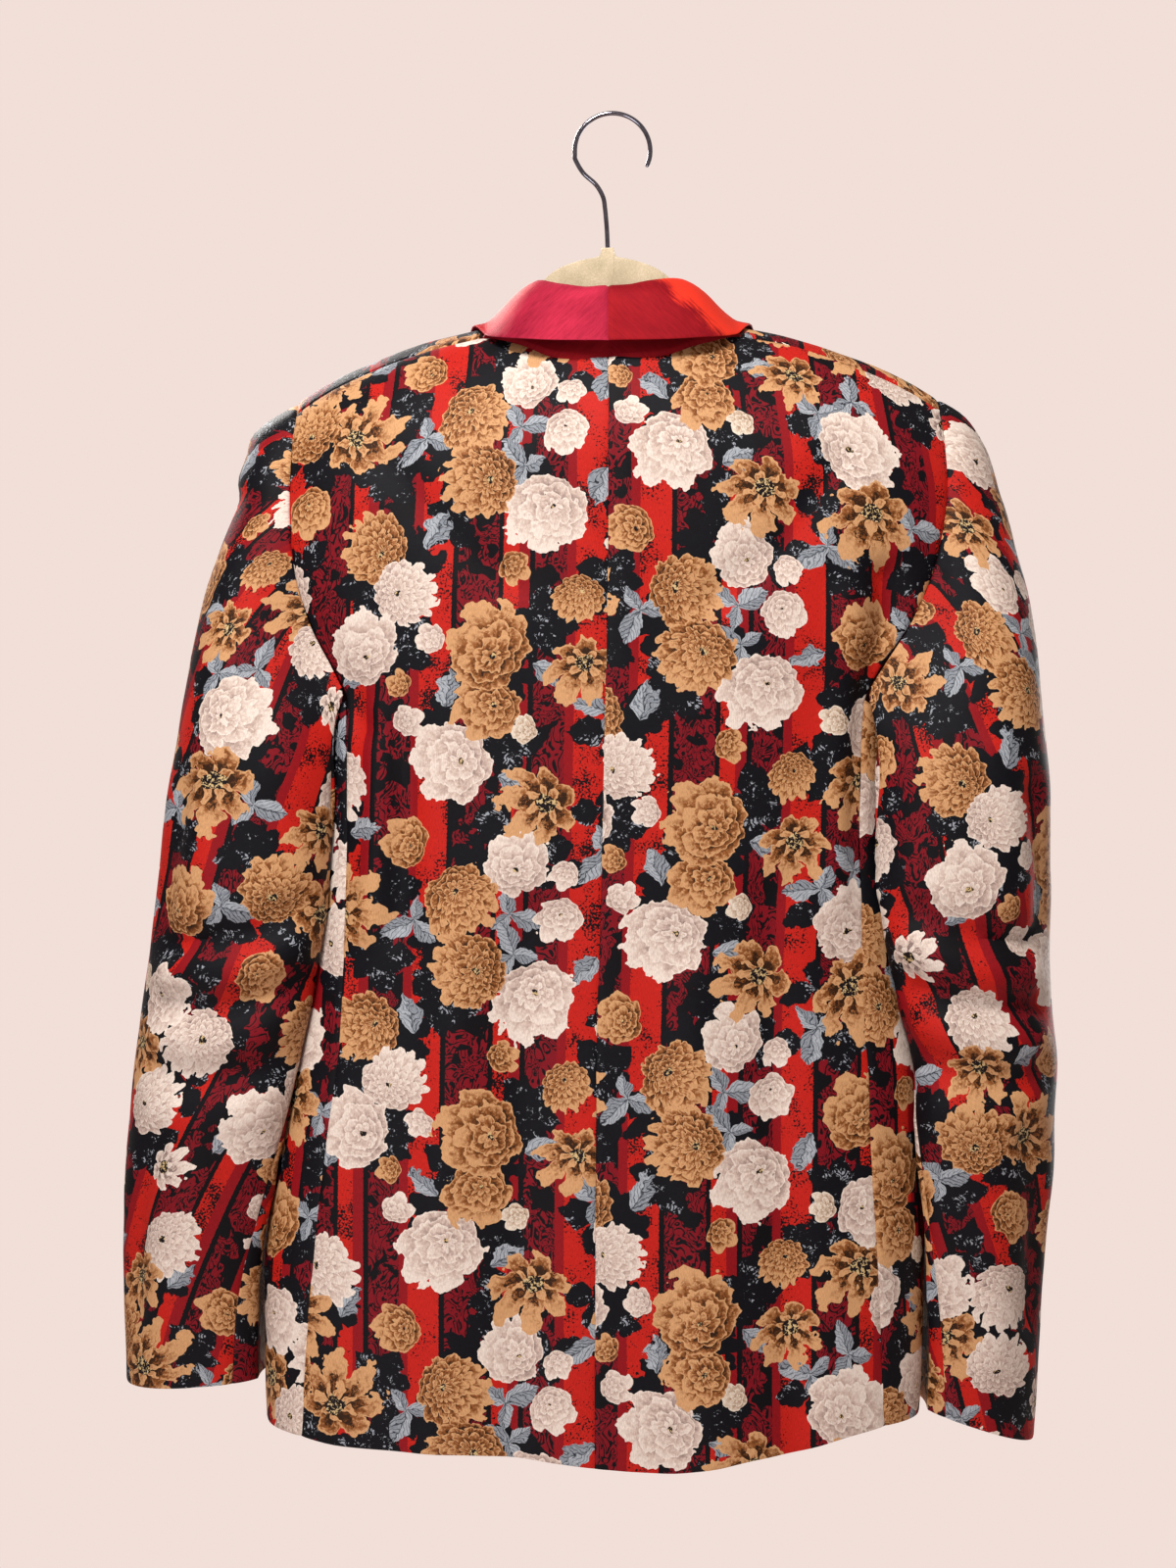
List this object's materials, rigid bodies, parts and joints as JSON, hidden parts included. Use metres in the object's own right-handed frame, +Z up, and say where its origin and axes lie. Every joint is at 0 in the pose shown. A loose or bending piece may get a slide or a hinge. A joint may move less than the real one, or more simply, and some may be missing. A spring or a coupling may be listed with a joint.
{
  "type": "jacquard blazer on a hanger",
  "caption": "Floral jacquard blazer with a satin shawl collar and a single covered button, hung on a thin velvet hanger with a bent wire hook.",
  "frame": {"origin": "inside top of the hanger's hook, where it rests on a rail", "axes": "+Z up, the garment's front faces -Y, +X is the wearer's left"},
  "size_m": [0.6513, 0.1861, 0.9244],
  "materials": {
    "jacquard": "floral jacquard in cream, tan, grey and navy on red and burgundy stripes",
    "satin": "red satin",
    "velvet": "beige flocked velvet",
    "chrome": "polished"
  },
  "bodies": {
    "root": {"back_left": "jacquard", "side_left": "jacquard", "front_left": "jacquard", "top_sleeve_left": "jacquard", "under_sleeve_left": "jacquard", "collar_left": "satin", "collar_stand_left": "satin", "back_right": "jacquard", "side_right": "jacquard", "front_right": "jacquard", "top_sleeve_right": "jacquard", "under_sleeve_right": "jacquard", "collar_right": "satin", "collar_stand_right": "satin", "button": "satin", "hanger_body": "velvet", "hanger_hook": "chrome"}
  },
  "joints": []
}
